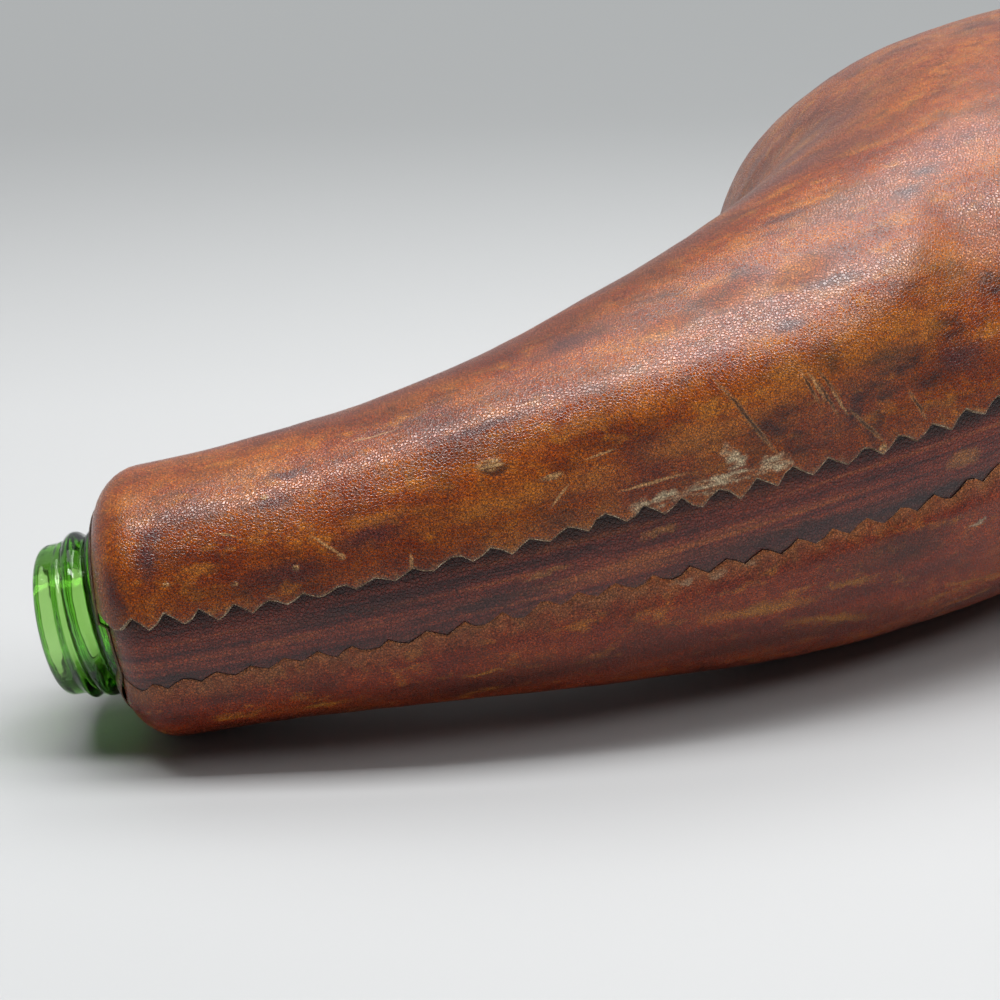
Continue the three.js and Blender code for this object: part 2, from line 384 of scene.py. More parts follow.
class Hide:
    """Colour, gloss and relief of one waxed hide, built up layer by layer."""

    cloud_scale = 60.0
    mottle_scale = 480.0
    speck_scale = 4400.0
    groove_range = (0.02, 0.22)
    # Painted shade in the grain's grooves: how dark the deepest groove and the pebble top are.
    groove_shade_tones = (0.42, 0.82)
    speck_range = (0.3, 0.7)
    speck_tones = (0.35, 1.65)
    palest_shade_and_fleck = 1.3
    fine_wobble = (900.0, 0.0008)
    ragged_wobble = (420.0, 0.0040)
    streak_share = 0.75
    grain_share = 0.5
    shine_range = (0.34, 0.76)
    roughness_range = (0.42, 0.12)
    pebble_height = 0.8
    mottle_height = 0.4
    speck_height = 0.5

    def __init__(self, name, tones, streaks, shares, grain_size):
        self.finish, self.tree = new_finish(name)
        coords = add_node(self.tree, "TexCoord")
        self.solid, self.flat = coords.outputs["Object"], coords.outputs["UV"]
        self.clouds = self.cloud(self.solid, self.cloud_scale, 5.0)
        self.mottle = self.cloud(self.solid, self.mottle_scale, 4.0)
        self.specks = self.cloud(self.solid, self.speck_scale, 1.0)
        pebbles = add_node(self.tree, "TexVoronoi", {"Vector": self.solid, "Scale": 1 / grain_size},
                           feature="DISTANCE_TO_EDGE")
        self.grain = spread_range(self.tree, pebbles.outputs["Distance"], *self.groove_range)
        tone = maths(self.tree, "MULTIPLY", self.streaks(*streaks), shares[0])
        for layer, share in zip((self.clouds, self.mottle, self.specks), shares[1:]):
            tone = maths(self.tree, "ADD", tone, maths(self.tree, "MULTIPLY", layer, share))
        self.colour = tone_ramp(self.tree, tone, tones)
        self.fine = self.shifted(*self.fine_wobble)
        self.ragged = self.shifted(*self.ragged_wobble)
        grain_shine = maths(self.tree, "MULTIPLY", self.grain, self.grain_share)
        speck_shine = maths(self.tree, "MULTIPLY", self.specks, 1 - self.grain_share)
        shine = maths(self.tree, "ADD", grain_shine, speck_shine)
        self.roughness = spread_range(self.tree, shine, *self.shine_range, *self.roughness_range)
        self.height = maths(self.tree, "MULTIPLY", self.grain, self.pebble_height)
        self.lift(self.mottle, self.mottle_height)
        self.lift(self.specks, self.speck_height)

    def cloud(self, coords, scale, detail):
        return add_node(self.tree, "TexNoise", {
            "Vector": coords, "Scale": scale, "Detail": detail, "Roughness": 0.62}).outputs[0]

    def streaks(self, length, width, offset):
        """Noise drawn out along the flat hide; length and width in millimetres."""
        drawn = add_node(self.tree, "Mapping", {
            "Vector": self.flat, "Location": (offset, offset, 0),
            "Scale": (1000 / length, 1000 / width, 1)})
        return self.cloud(drawn.outputs[0], 1.0, 6.0)

    def shifted(self, scale, reach):
        """Places on the flat hide, shifted at random so that marks get uneven edges."""
        wobble = add_node(self.tree, "TexNoise", {
            "Vector": self.solid, "Scale": scale, "Detail": 4.0, "Roughness": 0.7}).outputs["Color"]
        centred = add_node(self.tree, "VectorMath", {0: wobble, 1: (-0.5, -0.5, -0.5)}, operation="ADD")
        shift = add_node(self.tree, "VectorMath", {0: centred.outputs[0], 3: reach}, operation="SCALE")
        moved = add_node(self.tree, "VectorMath", {0: self.flat, 1: shift.outputs[0]}, operation="ADD")
        return moved.outputs[0]

    def mark(self, marks, soft, hard, laid=None):
        """Share of a group of marks, from none at soft to full at hard."""
        strength = worn_marks(self.tree, laid or self.ragged, marks)
        return spread_range(self.tree, strength, soft, hard)

    def stain(self, share, colour, most):
        """Colours the hide where share says so; most is how far the stain covers it at its fullest."""
        cover = maths(self.tree, "MULTIPLY", share, most)
        node = add_node(self.tree, "Mix", {0: cover, 6: self.colour, 7: (*colour, 1)}, data_type="RGBA")
        self.colour = node.outputs[2]

    def weather(self, streaks, low, high, colour, most):
        """Stains drawn-out streaks of the hide where their noise lies above low."""
        drawn_out = maths(self.tree, "MULTIPLY", self.streaks(*streaks), self.streak_share)
        broken = maths(self.tree, "MULTIPLY", self.mottle, 1 - self.streak_share)
        uneven = maths(self.tree, "ADD", drawn_out, broken)
        self.stain(spread_range(self.tree, uneven, low, high), colour, most)

    def roughen(self, share, roughness):
        self.roughness = add_node(self.tree, "Mix", {0: share, 2: self.roughness, 3: roughness}).outputs[0]

    def lift(self, share, amount):
        self.height = maths(self.tree, "ADD", self.height, maths(self.tree, "MULTIPLY", share, amount))

    def finished(self, relief, gloss):
        # Painted shade: the base colour is darkened in the grooves of the grain, and random flecks lighten
        # and darken it on top.
        painted_groove_shade = spread_range(self.tree, self.grain, 0.0, 1.0, *self.groove_shade_tones)
        flecks = spread_range(self.tree, self.specks, *self.speck_range, *self.speck_tones)
        groove_shade_and_flecks = maths(self.tree, "MULTIPLY", painted_groove_shade, flecks)
        groove_shade_and_flecks = maths(self.tree, "MINIMUM", groove_shade_and_flecks, self.palest_shade_and_fleck)
        shaded_and_flecked = add_node(self.tree, "VectorMath", {0: self.colour, 3: groove_shade_and_flecks}, operation="SCALE")
        bump = add_node(self.tree, "Bump", {"Height": self.height, "Strength": 1.0, "Distance": relief})
        shader = add_node(self.tree, "BsdfPrincipled", {
            "Base Color": shaded_and_flecked.outputs[0], "Roughness": self.roughness, "Normal": bump.outputs[0],
            "Specular IOR Level": gloss})
        add_node(self.tree, "OutputMaterial", {"Surface": shader.outputs[0]})
        return self.finish


strip_tones = (
    (0.40, (0.085, 0.014, 0.014)), (0.46, (0.200, 0.027, 0.018)), (0.53, (0.340, 0.051, 0.021)),
    (0.61, (0.500, 0.125, 0.030)))
shade_and_patch_dark = (0.030, 0.014, 0.018)
strip_tan = (0.54, 0.20, 0.05)
notch_shade_black = (0.020, 0.008, 0.009)
lower_edge_purple = (0.030, 0.014, 0.020)
notch_shade_reach = (0.0030, 0.0058)
lower_edge_darkening_reach = (-0.0036, -0.0060)
strip_hide = Hide(
    "dark_strip_leather", strip_tones, streaks=(70, 2.2, 0.3), shares=(0.74, 0.14, 0.08, 0.04),
    grain_size=0.0006)
# Darker patches of the strip; the three marks at the upper panel's pinked edge (7 to 7.8 mm across) are
# painted shade.
notch_shade_and_dark_patches = strip_hide.mark((
    (20, 7.0, 30, 3.0, 0), (70, 7.8, 40, 3.2, 0), (118, 7.0, 26, 3.0, 0), (98, -4.0, 26, 2.0, -3),
    (120, -5.8, 18, 2.2, 0), (54, -2.2, 16, 2.0, 2), (36, 1.6, 18, 1.8, 0),
    (8, -4.8, 8, 2.2, 0)), soft=0.1, hard=0.8)
strip_hide.stain(notch_shade_and_dark_patches, shade_and_patch_dark, most=0.75)
strip_across = add_node(strip_hide.tree, "SeparateXYZ", {0: strip_hide.fine}).outputs["Y"]
# Painted shade: near black in the notches under the upper panel's pinked edge.
painted_notch_shade = spread_range(strip_hide.tree, strip_across, *notch_shade_reach)
strip_hide.stain(painted_notch_shade, notch_shade_black, most=0.8)
# Darker purple towards the lower panel's edge.
lower_edge_darkening = spread_range(strip_hide.tree, strip_across, *lower_edge_darkening_reach)
strip_hide.stain(lower_edge_darkening, lower_edge_purple, most=0.7)
strip_worn = strip_hide.mark((
    (124, -1.2, 4.2, 2.4, 0), (79, 2.6, 4.5, 1.1, 8), (63, 0.6, 5, 0.9, 4)), soft=0.2, hard=0.65)
strip_hide.stain(strip_worn, strip_tan, most=0.8)
strip_leather = strip_hide.finished(relief=0.00004, gloss=0.5)


def make_strip(name, turn, hide_shift, node):
    def strip_height(column):
        return strip_reach * (2 * column / strip_columns - 1)

    def strip_corner(row, column):
        place = leather_places[row]
        along, width, thickness = wrap_sizes(place, strip_depth)
        return on_section(along, width, thickness, turn + strip_height(column) / outer_edge(place))

    def strip_spot(row, column):
        return laid_length(leather_places[row]) + hide_shift, strip_height(column)

    skin, _ = leather_skin(leather_rows, strip_columns, strip_corner, strip_spot)
    strip = make_piece(name, skin, [strip_leather], node)
    body = strip.modifiers.new("strip_body", "SOLIDIFY")
    body.thickness = strip_thickness
    body.offset = -1


make_strip("near_strip_leather", 0, 0, "near_strip")
make_strip("far_strip_leather", math.pi, 1, "far_strip")

# Leather panels. Two halves of waxed brown hide, wetted and moulded over the bottle and glued.
# Their edges are cut with pinking shears and lap the strips; the thin raw cut shows pale.
panel_thickness = 0.0026
thinnest_share = 0.03
strip_gap = 0.00003
lower_edge_drops = (0.00112, 0.00092, 0.00066, 0.00036, 0.00005)
edge_height = 0.0059
tooth_depth = 0.0022
lap_reaches = (0, 0.0007, 0.0017, 0.0029, 0.00435, 0.0046)
lap_count = len(lap_reaches)
panel_columns = 96
upper_near_line = (
    (4.5, 5.8), (14.5, 5.5), (25.5, 5.2), (41.5, 5.5), (50.5, 6.0), (60, 6.2), (70.5, 6.9), (78.5, 6.6),
    (89.5, 5.8), (99, 6.3), (109.5, 5.4), (120, 5.7), (128, 6.7), (150, 5.9))
lower_near_line = (
    (4.5, 5.6), (11, 5.4), (22, 5.6), (32.5, 5.6), (47, 5.4), (57, 5.4), (68, 4.8), (74.5, 5.2),
    (84.5, 6.0), (92.5, 6.4), (103.5, 6.7), (113.5, 7.0), (123.5, 6.5), (128, 5.6), (150, 5.9))
upper_near_teeth = (
    (0, 0.9), (19, 1.0), (22, 0.65), (27, 0.42), (42, 0.5), (48, 0.65), (66, 0.7), (72, 0.95),
    (150, 0.95))
lower_near_teeth = ((0, 0.6), (40, 0.75), (60, 0.8), (92, 0.85), (110, 0.9), (150, 0.9))
uneven_teeth = 0.40
bowed_cut = 0.0036
edge_wander = 0.0004
edge_wander_rate = 60
shoulder_ridge = (
    (48, 20), (62, 21.5), (76, 23), (90, 24), (106, 23.5), (112.5, 25), (119, 29), (124.5, 33),
    (131, 39.5), (140, 46), (150, 50))
ridge_height = 0.0024
ridge_width = 0.009
ridge_start = (0.046, 0.085)
ridge_end = (0.116, 0.140)
swell_height = 0.00035
swell_rate = 45
pucker_height = 0.00012
pucker_rate = 170
tight_neck_end = (0.003, 0.015)
tight_base_end = (0.235, 0.255)
curl_height = 0.00028
curl_share = 0.4
curl_rate = 130
cut_round = 0.0002
plain_line = ((0, 5.9), (264, 5.9))
plain_teeth = ((0, 0.9), (264, 0.9))


def along_line(line, along):
    """Height on a line of places in millimetres, straight between them."""
    here = along * 1000
    if here <= line[0][0]:
        return line[0][1]
    for (start, low), (end, high) in zip(line, line[1:]):
        if here <= end:
            return low + (high - low) * (here - start) / (end - start)
    return line[-1][1]


def pinked_edge(along, line, teeth, way, seed):
    """Distance of a pinked edge from the middle of its strip; no two teeth are cut quite alike."""
    count = 2 * (along - tooth_start) / tooth_pitch
    tooth = math.floor(count + 1e-6)
    share = count - tooth
    tips = []
    for k in (tooth, tooth + 1):
        uneven = 1 + uneven_teeth * noise.noise((3.7 * k, seed, 0.5))
        tips.append((0.5 if k % 2 else -0.5) * tooth_depth * uneven)
    swing = (tips[0] + (tips[1] - tips[0]) * share) * along_line(teeth, along)
    swing += bowed_cut * share * (1 - share) * noise.noise((5.3 * tooth, seed + 1.9, 0.5))
    wander = edge_wander * noise.noise((along * edge_wander_rate, seed + 3.7, 0))
    return along_line(line, along) / 1000 + way * swing + wander


def make_panel(name, turn, edges, seed, finishes, node):
    way = 1 if turn == 0 else -1
    edge_rows = []
    for place in leather_places:
        along = place(0)[0]
        edge_rows.append([
            pinked_edge(along, line, teeth, way, seed + 9 * i) for i, (line, teeth) in enumerate(edges)])

    def from_strip(edge, count):
        """Distance from the strip's middle of a column near an edge; the teeth die out inwards."""
        reach = lap_reaches[count]
        fade = 1 - ramp_up(reach, 0, lap_reaches[-2])
        return edge_height + (edge - edge_height) * fade + reach

    def panel_angle(row, column):
        radius = outer_edge(leather_places[row])
        near, far = edge_rows[row]
        count = min(column, panel_columns - column)
        if count < lap_count:
            if column < lap_count:
                return from_strip(near, count) / radius
            return math.pi - from_strip(far, count) / radius
        first = from_strip(near, lap_count - 1) / radius
        last = math.pi - from_strip(far, lap_count - 1) / radius
        return first + (last - first) * (column - lap_count + 1) / (panel_columns - 2 * lap_count + 2)

    def edge_drop(column):
        """How far a skived edge is let down towards its strip."""
        if way < 0 and panel_columns - column < len(lower_edge_drops):
            return lower_edge_drops[panel_columns - column]
        return 0

    def panel_corner(row, column):
        along, width, thickness = wrap_sizes(leather_places[row], edge_drop(column))
        angle = turn + panel_angle(row, column)
        point = on_section(along, width, thickness, angle)
        loose = ramp_up(along, *tight_neck_end) * (1 - ramp_up(along, *tight_base_end))
        swelling = swell_height * noise.noise(point * swell_rate)
        swelling += pucker_height * noise.noise(point * pucker_rate)
        swelling *= loose
        if way > 0:
            across = panel_angle(row, column) * thickness - along_line(shoulder_ridge, along) / 1000
            reach = ramp_up(along, *ridge_start) * (1 - ramp_up(along, *ridge_end))
            swelling += ridge_height * reach * math.exp(-((across / ridge_width) ** 2))
        count = min(column, panel_columns - column)
        if count < lap_count and way > 0:
            curl = curl_height * (curl_share + noise.noise((along * curl_rate, seed, turn)))
            swelling = max(swelling + curl * (1 - count / lap_count), 0)
        corner = on_section(along, width + swelling, thickness + swelling, angle)
        corner.z = max(corner.z, 0)
        return corner

    def panel_spot(row, column):
        place = leather_places[row]
        angle = panel_angle(row, column)
        return laid_length(place), (angle if way > 0 else angle - math.pi) * outer_edge(place)

    skin, spots = leather_skin(leather_rows, panel_columns, panel_corner, panel_spot)
    counts = [min(column, panel_columns - column) for _, column in spots]
    panel = make_piece(name, skin, finishes, node)
    full = panel.vertex_groups.new(name="full_thickness")
    for i, (count, (_, column)) in enumerate(zip(counts, spots)):
        share = (strip_depth - strip_gap - edge_drop(column)) / panel_thickness
        share = 1 if count >= lap_count - 1 else (share - thinnest_share) / (1 - thinnest_share)
        full.add([i], share, "REPLACE")
    worn_edge = panel.data.attributes.new("worn_edge", "FLOAT", "POINT")
    for i, count in enumerate(counts):
        worn_edge.data[i].value = 1 - lap_reaches[count] / lap_reaches[-1] if count < lap_count else 0
    body = panel.modifiers.new("panel_body", "SOLIDIFY")
    body.thickness = panel_thickness
    body.offset = -1
    body.vertex_group = "full_thickness"
    body.thickness_vertex_group = thinnest_share
    body.material_offset_rim = 1
    cut = panel.modifiers.new("cut_edge", "BEVEL")
    cut.width = cut_round
    cut.segments = 2
    cut.limit_method = "ANGLE"
    cut.angle_limit = math.radians(50)
    cut.material = 1


upper_tones = (
    (0.38, (0.245, 0.032, 0.008)), (0.46, (0.405, 0.070, 0.009)), (0.53, (0.545, 0.125, 0.012)),
    (0.62, (0.700, 0.220, 0.028)))
# Painted shade: the lower panel is the same hide as the upper one, coloured darker because it faces down,
# away from the lamps.
shaded_lower_tones = (
    (0.38, (0.210, 0.019, 0.006)), (0.46, (0.320, 0.035, 0.007)), (0.53, (0.430, 0.058, 0.009)),
    (0.62, (0.560, 0.112, 0.014)))
dye_and_shade_brown = (0.100, 0.016, 0.008)
worn_ochre = (0.74, 0.255, 0.034)
plum_stain = (0.115, 0.034, 0.036)
back_brown = (0.200, 0.046, 0.030)
blackened = (0.055, 0.014, 0.014)
ochre_and_painted_light = (0.72, 0.25, 0.036)
raw_cream = (0.80, 0.62, 0.38)
flake_shadow_brown = (0.10, 0.030, 0.012)
scuffed_tan = (0.72, 0.42, 0.17)
scratched_tan = (0.74, 0.40, 0.16)
cut_tan = (0.56, 0.28, 0.11)
cut_black = (0.030, 0.010, 0.007)
upper_edge_tan = (0.50, 0.23, 0.09)
lower_dark = (0.100, 0.018, 0.010)
lower_gold = (0.62, 0.24, 0.030)
scuffed_grey = (0.60, 0.44, 0.28)
lower_edge_tan = (0.52, 0.190, 0.070)
side_shade_reach = (0.019, 0.009)


def brown_hide(name, tones, offset):
    """Orange-brown hide with dark dye and ochre wear in blotches drawn out along the bottle."""
    hide = Hide(
        name, tones, streaks=(17, 8.5, offset), shares=(0.32, 0.32, 0.22, 0.14), grain_size=0.0005)
    hide.weather((19, 9, offset + 0.7), low=0.48, high=0.66, colour=dye_and_shade_brown, most=0.75)
    hide.weather((6.5, 3.2, offset + 1.3), low=0.52, high=0.66, colour=dye_and_shade_brown, most=0.6)
    hide.weather((9, 4.2, offset + 1.9), low=0.55, high=0.66, colour=worn_ochre, most=0.7)
    return hide


def worn_brown(hide, least_wear, most_wear, tan, most_tan, gloss):
    """Wear that both panels share: tan along the pinked edges."""
    edge = add_node(hide.tree, "Attribute", attribute_name="worn_edge").outputs["Fac"]
    rubbed = maths(hide.tree, "MULTIPLY", edge, hide.mottle)
    hide.stain(spread_range(hide.tree, rubbed, least_wear, most_wear), tan, most_tan)
    return hide.finished(relief=0.000036, gloss=gloss)


upper_hide = brown_hide("brown_upper_leather", upper_tones, 0.0)
upper_stains = upper_hide.mark((
    (1.8, 10.4, 2.0, 6, 0), (7.5, 15.5, 2.2, 6, 0), (9, 19.2, 3, 1.4, 0), (28, 9.5, 10, 2.5, 0),
    (40.5, 12.6, 7, 3, 10), (27.5, 20.7, 6, 1.8, 0), (30, 25.6, 6, 1.4, 0), (59, 26.2, 10, 1.5, 4),
    (76, 40.5, 9, 3.2, 10), (102.5, 43.5, 4, 2, 0), (115.5, 54.7, 8, 2, 0), (133, 47.8, 4, 2.4, 20),
    (103.5, 29.3, 4, 1.8, 0), (113.5, 34.7, 6, 1.6, -10), (139, 51.6, 4, 2, 0),
    (126, 16, 6, 3.4, 0)), soft=0.05, hard=0.75)
upper_hide.stain(upper_stains, plum_stain, most=0.8)
# Browner and darker along the top of the neck; the two marks over the far shoulder (132 and 150 mm along)
# are painted shade.
top_darkening_and_far_shade = upper_hide.mark((
    (40, 42, 36, 7, 4), (66, 48, 40, 9, 8), (95, 62, 30, 10, 15), (132, 74, 28, 9, -10),
    (150, 92, 34, 16, 0)), soft=0.0, hard=0.7)
upper_hide.stain(top_darkening_and_far_shade, back_brown, most=0.7)
upper_across = add_node(upper_hide.tree, "SeparateXYZ", {0: upper_hide.ragged}).outputs["Y"]
# Painted shade: the lower part of the upper panel, which faces away from the lamps, is darkened towards
# the strip.
painted_side_shade = spread_range(upper_hide.tree, upper_across, *side_shade_reach)
upper_hide.stain(painted_side_shade, dye_and_shade_brown, most=0.32)
patchy = spread_range(upper_hide.tree, upper_hide.streaks(5, 2.4, 6.1), 0.38, 0.56, 0.25, 1.0)
dark_spots = upper_hide.mark((
    (106.5, 22.4, 2.6, 3.8, 20), (115, 18.9, 5.0, 2.8, 0), (118, 18.1, 5, 2.6, 10),
    (113, 14.9, 4.4, 2.4, 0), (95.5, 13.8, 3.6, 2.6, 0), (99.5, 10.6, 3.0, 2.6, 0),
    (108.5, 12.9, 1.8, 4.4, -20), (111, 9.6, 1.8, 3.6, -20), (125, 21.3, 4, 3.4, 0),
    (129, 30.2, 4, 2.6, 0), (135, 25.6, 4, 3, 0), (120, 14, 3, 2, 0)), soft=0.06, hard=0.60)
upper_hide.stain(maths(upper_hide.tree, "MULTIPLY", dark_spots, patchy), blackened, most=0.85)
# Ochre wear; the two broad marks at 114 and 127 mm along paint extra light onto the near side of the
# shoulder.
ochre_wear_and_painted_light = upper_hide.mark((
    (107, 51, 5, 3.5, 20), (121.5, 66.4, 5, 2, 0), (128.5, 42.4, 4, 2.6, 0), (140, 66.5, 9, 2.4, -20),
    (109.5, 39.8, 6, 2, 10), (103.5, 37.8, 5, 2, 0), (122, 22.4, 5, 3, 0), (99, 43.6, 5, 1.8, 10),
    (20.5, 31.3, 6, 1.4, 0), (4.5, 26.4, 2, 2.5, 0), (12.5, 25, 4, 1.4, 0), (43.5, 15.2, 9, 1.6, 0),
    (28, 7.2, 2.5, 1.5, 0), (15, 12.3, 5, 1.4, 0), (58, 13.5, 16, 2.6, 4), (70, 22, 14, 2.2, 2),
    (86, 16, 10, 3, 4), (112, 33, 6, 2.4, 8), (150, 96, 9, 9, 0), (114, 24, 13, 7, 10),
    (127, 31, 11, 9, 20), (101, 21, 8, 5, 0)), soft=0.05, hard=0.70)
upper_hide.stain(maths(upper_hide.tree, "MULTIPLY", ochre_wear_and_painted_light, patchy), ochre_and_painted_light, most=0.5)
fibres = spread_range(upper_hide.tree, upper_hide.streaks(4, 0.9, 3.3), 0.40, 0.56, 0.05, 1.0)
raw_patches = upper_hide.mark((
    (79, 7.9, 4.6, 1.4, 4), (88, 8.2, 6.5, 1.5, 4), (90.5, 11.2, 1.9, 2.6, 20),
    (95.5, 8.6, 3.2, 1.9, 6)), soft=0.08, hard=0.5)
upper_hide.stain(maths(upper_hide.tree, "MULTIPLY", raw_patches, fibres), raw_cream, most=0.95)
upper_hide.roughen(raw_patches, roughness=0.75)
dull_patches = upper_hide.mark((
    (99, 40, 9, 5, 16), (110, 39, 9, 4.4, 14), (89, 37, 8, 3, 12),
    (76, 41, 10, 4, 10)), soft=0.05, hard=0.6)
upper_hide.roughen(dull_patches, roughness=0.55)
# Painted shadow beside the lifted flake of the scuff at 58.5 mm.
flake_shadow = upper_hide.mark(
    ((59.0, 18.8, 2.6, 1.5, -8),), soft=0.10, hard=0.45, laid=upper_hide.fine)
upper_hide.stain(flake_shadow, flake_shadow_brown, most=0.8)
upper_scuffs = upper_hide.mark((
    (58.5, 19.6, 2.7, 1.5, -8), (26.5, 22.2, 0.9, 0.8, 0), (36.5, 10.4, 0.9, 0.7, 0),
    (66, 15.5, 2.2, 0.7, 4), (29.5, 9.9, 0.8, 0.7, 0), (10, 11.2, 0.7, 0.6, 0), (20, 9.4, 0.8, 0.6, 0),
    (111.4, 5.4, 1.0, 1.5, 0)), soft=0.15, hard=0.5, laid=upper_hide.fine)
upper_hide.lift(upper_scuffs, amount=1.0)
upper_hide.stain(maths(upper_hide.tree, "MULTIPLY", upper_scuffs, fibres), scuffed_tan, most=0.9)
scratches = upper_hide.mark((
    (34.7, 12.4, 4.2, 0.34, -44), (66.5, 12.4, 3.0, 0.36, 43), (79, 10.9, 6.4, 0.42, 1),
    (103.6, 18.4, 3.6, 0.36, -74), (106.4, 15, 3.6, 0.34, -68), (73, 17, 3, 0.28, 6),
    (44, 30, 5, 0.3, 4), (20, 17, 2.5, 0.28, -20),
    (45.6, 7.6, 1.8, 0.4, 84)), soft=0.15, hard=0.6, laid=upper_hide.fine)
upper_hide.stain(scratches, scratched_tan, most=0.75)
upper_cuts = worn_marks(upper_hide.tree, upper_hide.fine, (
    (93.5, 16.5, 10.5, 0.50, -67), (102.7, 18.6, 3.8, 0.40, -75), (104.7, 16.4, 4.6, 0.40, -71),
    (105.2, 18.6, 2.6, 0.36, -68), (109.7, 10, 5.0, 0.45, -59), (117.7, 10.6, 3.6, 0.45, -75)))
cut_lips = spread_range(upper_hide.tree, upper_cuts, 0.05, 0.4)
upper_hide.stain(cut_lips, cut_tan, most=0.5)
cut_floors = spread_range(upper_hide.tree, upper_cuts, 0.45, 0.7)
upper_hide.stain(cut_floors, cut_black, most=0.75)
upper_hide.lift(upper_cuts, amount=-0.9)
upper_leather = worn_brown(
    upper_hide, least_wear=0.42, most_wear=0.62, tan=upper_edge_tan, most_tan=0.6, gloss=0.62)

lower_hide = brown_hide("brown_lower_leather", shaded_lower_tones, 5.0)
# Broad darker bands low down on the lower panel.
lower_side_darkening = lower_hide.mark((
    (20, -22, 30, 5, 0), (60, -20, 40, 6, -4), (95, -28, 40, 6, -8),
    (115, -14, 8, 4, 0)), soft=0.0, hard=0.9)
lower_hide.stain(lower_side_darkening, lower_dark, most=0.8)
lower_ochre = lower_hide.mark((
    (104.5, -26, 11, 1.6, -26), (106, -17.2, 6, 1.2, -10), (128, -29, 7, 0.9, -17),
    (132.5, -37, 5, 0.8, 5), (28, -17, 5, 1.0, 0), (52, -16, 4, 0.8, 0),
    (92, -17, 12, 2, -10)), soft=0.10, hard=0.8)
lower_hide.stain(lower_ochre, lower_gold, most=0.75)
lower_scuffs = lower_hide.mark((
    (81, -6.9, 2.4, 0.9, 8), (86, -7.6, 1.8, 0.9, 10), (91, -7.4, 1.4, 0.9, 0),
    (126, -14, 2.0, 0.7, 8)), soft=0.2, hard=0.6)
lower_hide.stain(lower_scuffs, scuffed_grey, most=0.85)
lower_leather = worn_brown(
    lower_hide, least_wear=0.12, most_wear=0.48, tan=lower_edge_tan, most_tan=0.8, gloss=0.34)

raw_tones = ((0.38, (0.16, 0.08, 0.04)), (0.50, (0.58, 0.40, 0.24)), (0.62, (0.85, 0.72, 0.52)))
raw_hide = Hide(
    "raw_cut_leather", raw_tones, streaks=(3, 1, 0.0), shares=(0.4, 0.1, 0.3, 0.2), grain_size=0.0004)
raw_leather = raw_hide.finished(relief=0.0001, gloss=0.2)

upper_edges = ((upper_near_line, upper_near_teeth), (plain_line, plain_teeth))
lower_edges = ((plain_line, plain_teeth), (lower_near_line, lower_near_teeth))
make_panel("upper_panel_leather", 0, upper_edges, 1.7, [upper_leather, raw_leather], "upper_panel")
make_panel("lower_panel_leather", math.pi, lower_edges, 5.2, [lower_leather, raw_leather], "lower_panel")

# Neck washer. A ring of the same hide, skived thin at its rim, glued over the turned-in ends of
# the panels and strips where the glass comes out. Only its worn, greyish rim shows from the side.
washer_reach = 0.25
washer_under = 0.00003
washer_inner_top = 0.0005
washer_rim_top = 0.00015
washer_recess = strip_depth - strip_gap
rim_wear = 0.05
rim_wear_rate = 3
rim_wear_seed = 4.1
rim_wear_fade = 8
rim_steps = 5
rim_curve = 0.6
recess_lead = 0.0008
recess_ramp = 0.0004
skived_ramp = 0.0045
washer_sides = 128
washer_steps = 8
washer_turns = [quarter * (1 - washer_reach * i / washer_steps) for i in range(washer_steps + 1)]
washer_rows = [(turn, -washer_under) for turn in washer_turns]
for i, turn in enumerate(washer_turns[::-1]):
    share = min(i / rim_steps, 1) ** rim_curve
    washer_rows.append((turn, -washer_rim_top - (washer_inner_top - washer_rim_top) * share))
washer_rows.append(washer_rows[0])


def washer_corner(row, column):
    turn, depth = washer_rows[row]
    angle = 2 * math.pi * column / washer_sides
    around_rim = (rim_wear_rate * math.cos(angle), rim_wear_rate * math.sin(angle), rim_wear_seed)
    worn = rim_wear * noise.noise(around_rim)
    worn *= 1 - (turn / quarter) ** rim_wear_fade
    from_strip = abs(math.sin(angle)) * half_thicknesses[0]
    skived = math.cos(angle) > 0 > math.sin(angle)
    ramp_end = edge_height + (skived_ramp if skived else recess_ramp)
    sunk = 1 - ramp_up(from_strip, edge_height - recess_lead, ramp_end)
    depth += sunk * washer_recess
    along, width, thickness = wrap_sizes(neck_end_at(min(turn + worn, quarter)), depth)
    return on_section(along, width, thickness, angle)


washer_tones = (
    (0.38, (0.045, 0.022, 0.016)), (0.48, (0.14, 0.06, 0.028)), (0.56, (0.26, 0.14, 0.075)),
    (0.66, (0.42, 0.28, 0.17)))
washer_hide = Hide(
    "worn_washer_leather", washer_tones, streaks=(16, 16, 0.0), shares=(0.0, 0.5, 0.35, 0.15),
    grain_size=0.0005)
washer_leather = washer_hide.finished(relief=0.0001, gloss=0.4)
washer_ring, _ = laid_sheet(len(washer_rows) - 1, washer_sides, washer_corner)
make_piece("neck_washer_leather", close_up(washer_ring), [washer_leather], "neck_washer")

# Base sole. An oval of thick sole leather let into the opening of the wrap under the base; it is
# glued to the glass and stands just proud of the wrap, with its rim rounded and burnished.
sole_under = wrap_length - panel_thickness
sole_thickness = 0.0034
sole_clearance = 0.0003
sole_half_width = half_widths[-1] - heel_radius - sole_clearance
sole_half_thickness = half_thicknesses[-1] - heel_radius - sole_clearance
sole_rim = 0.0012
sole_sides = 112
outward_step = 0.001
sole_middle = on_section(sole_under, 0, 0, 0)
sole_across = on_section(sole_under, 1, 0, 0) - sole_middle
sole_upward = on_section(sole_under, 0, 1, quarter) - sole_middle
sole_outward = on_section(sole_under + outward_step, 0, 0, 0) - sole_middle
sole_outward.normalize()
sole_blank = bmesh.new()
bmesh.ops.create_circle(sole_blank, cap_ends=True, segments=sole_sides, radius=1.0)
bmesh.ops.scale(sole_blank, vec=(sole_half_width, sole_half_thickness, 1), verts=sole_blank.verts)
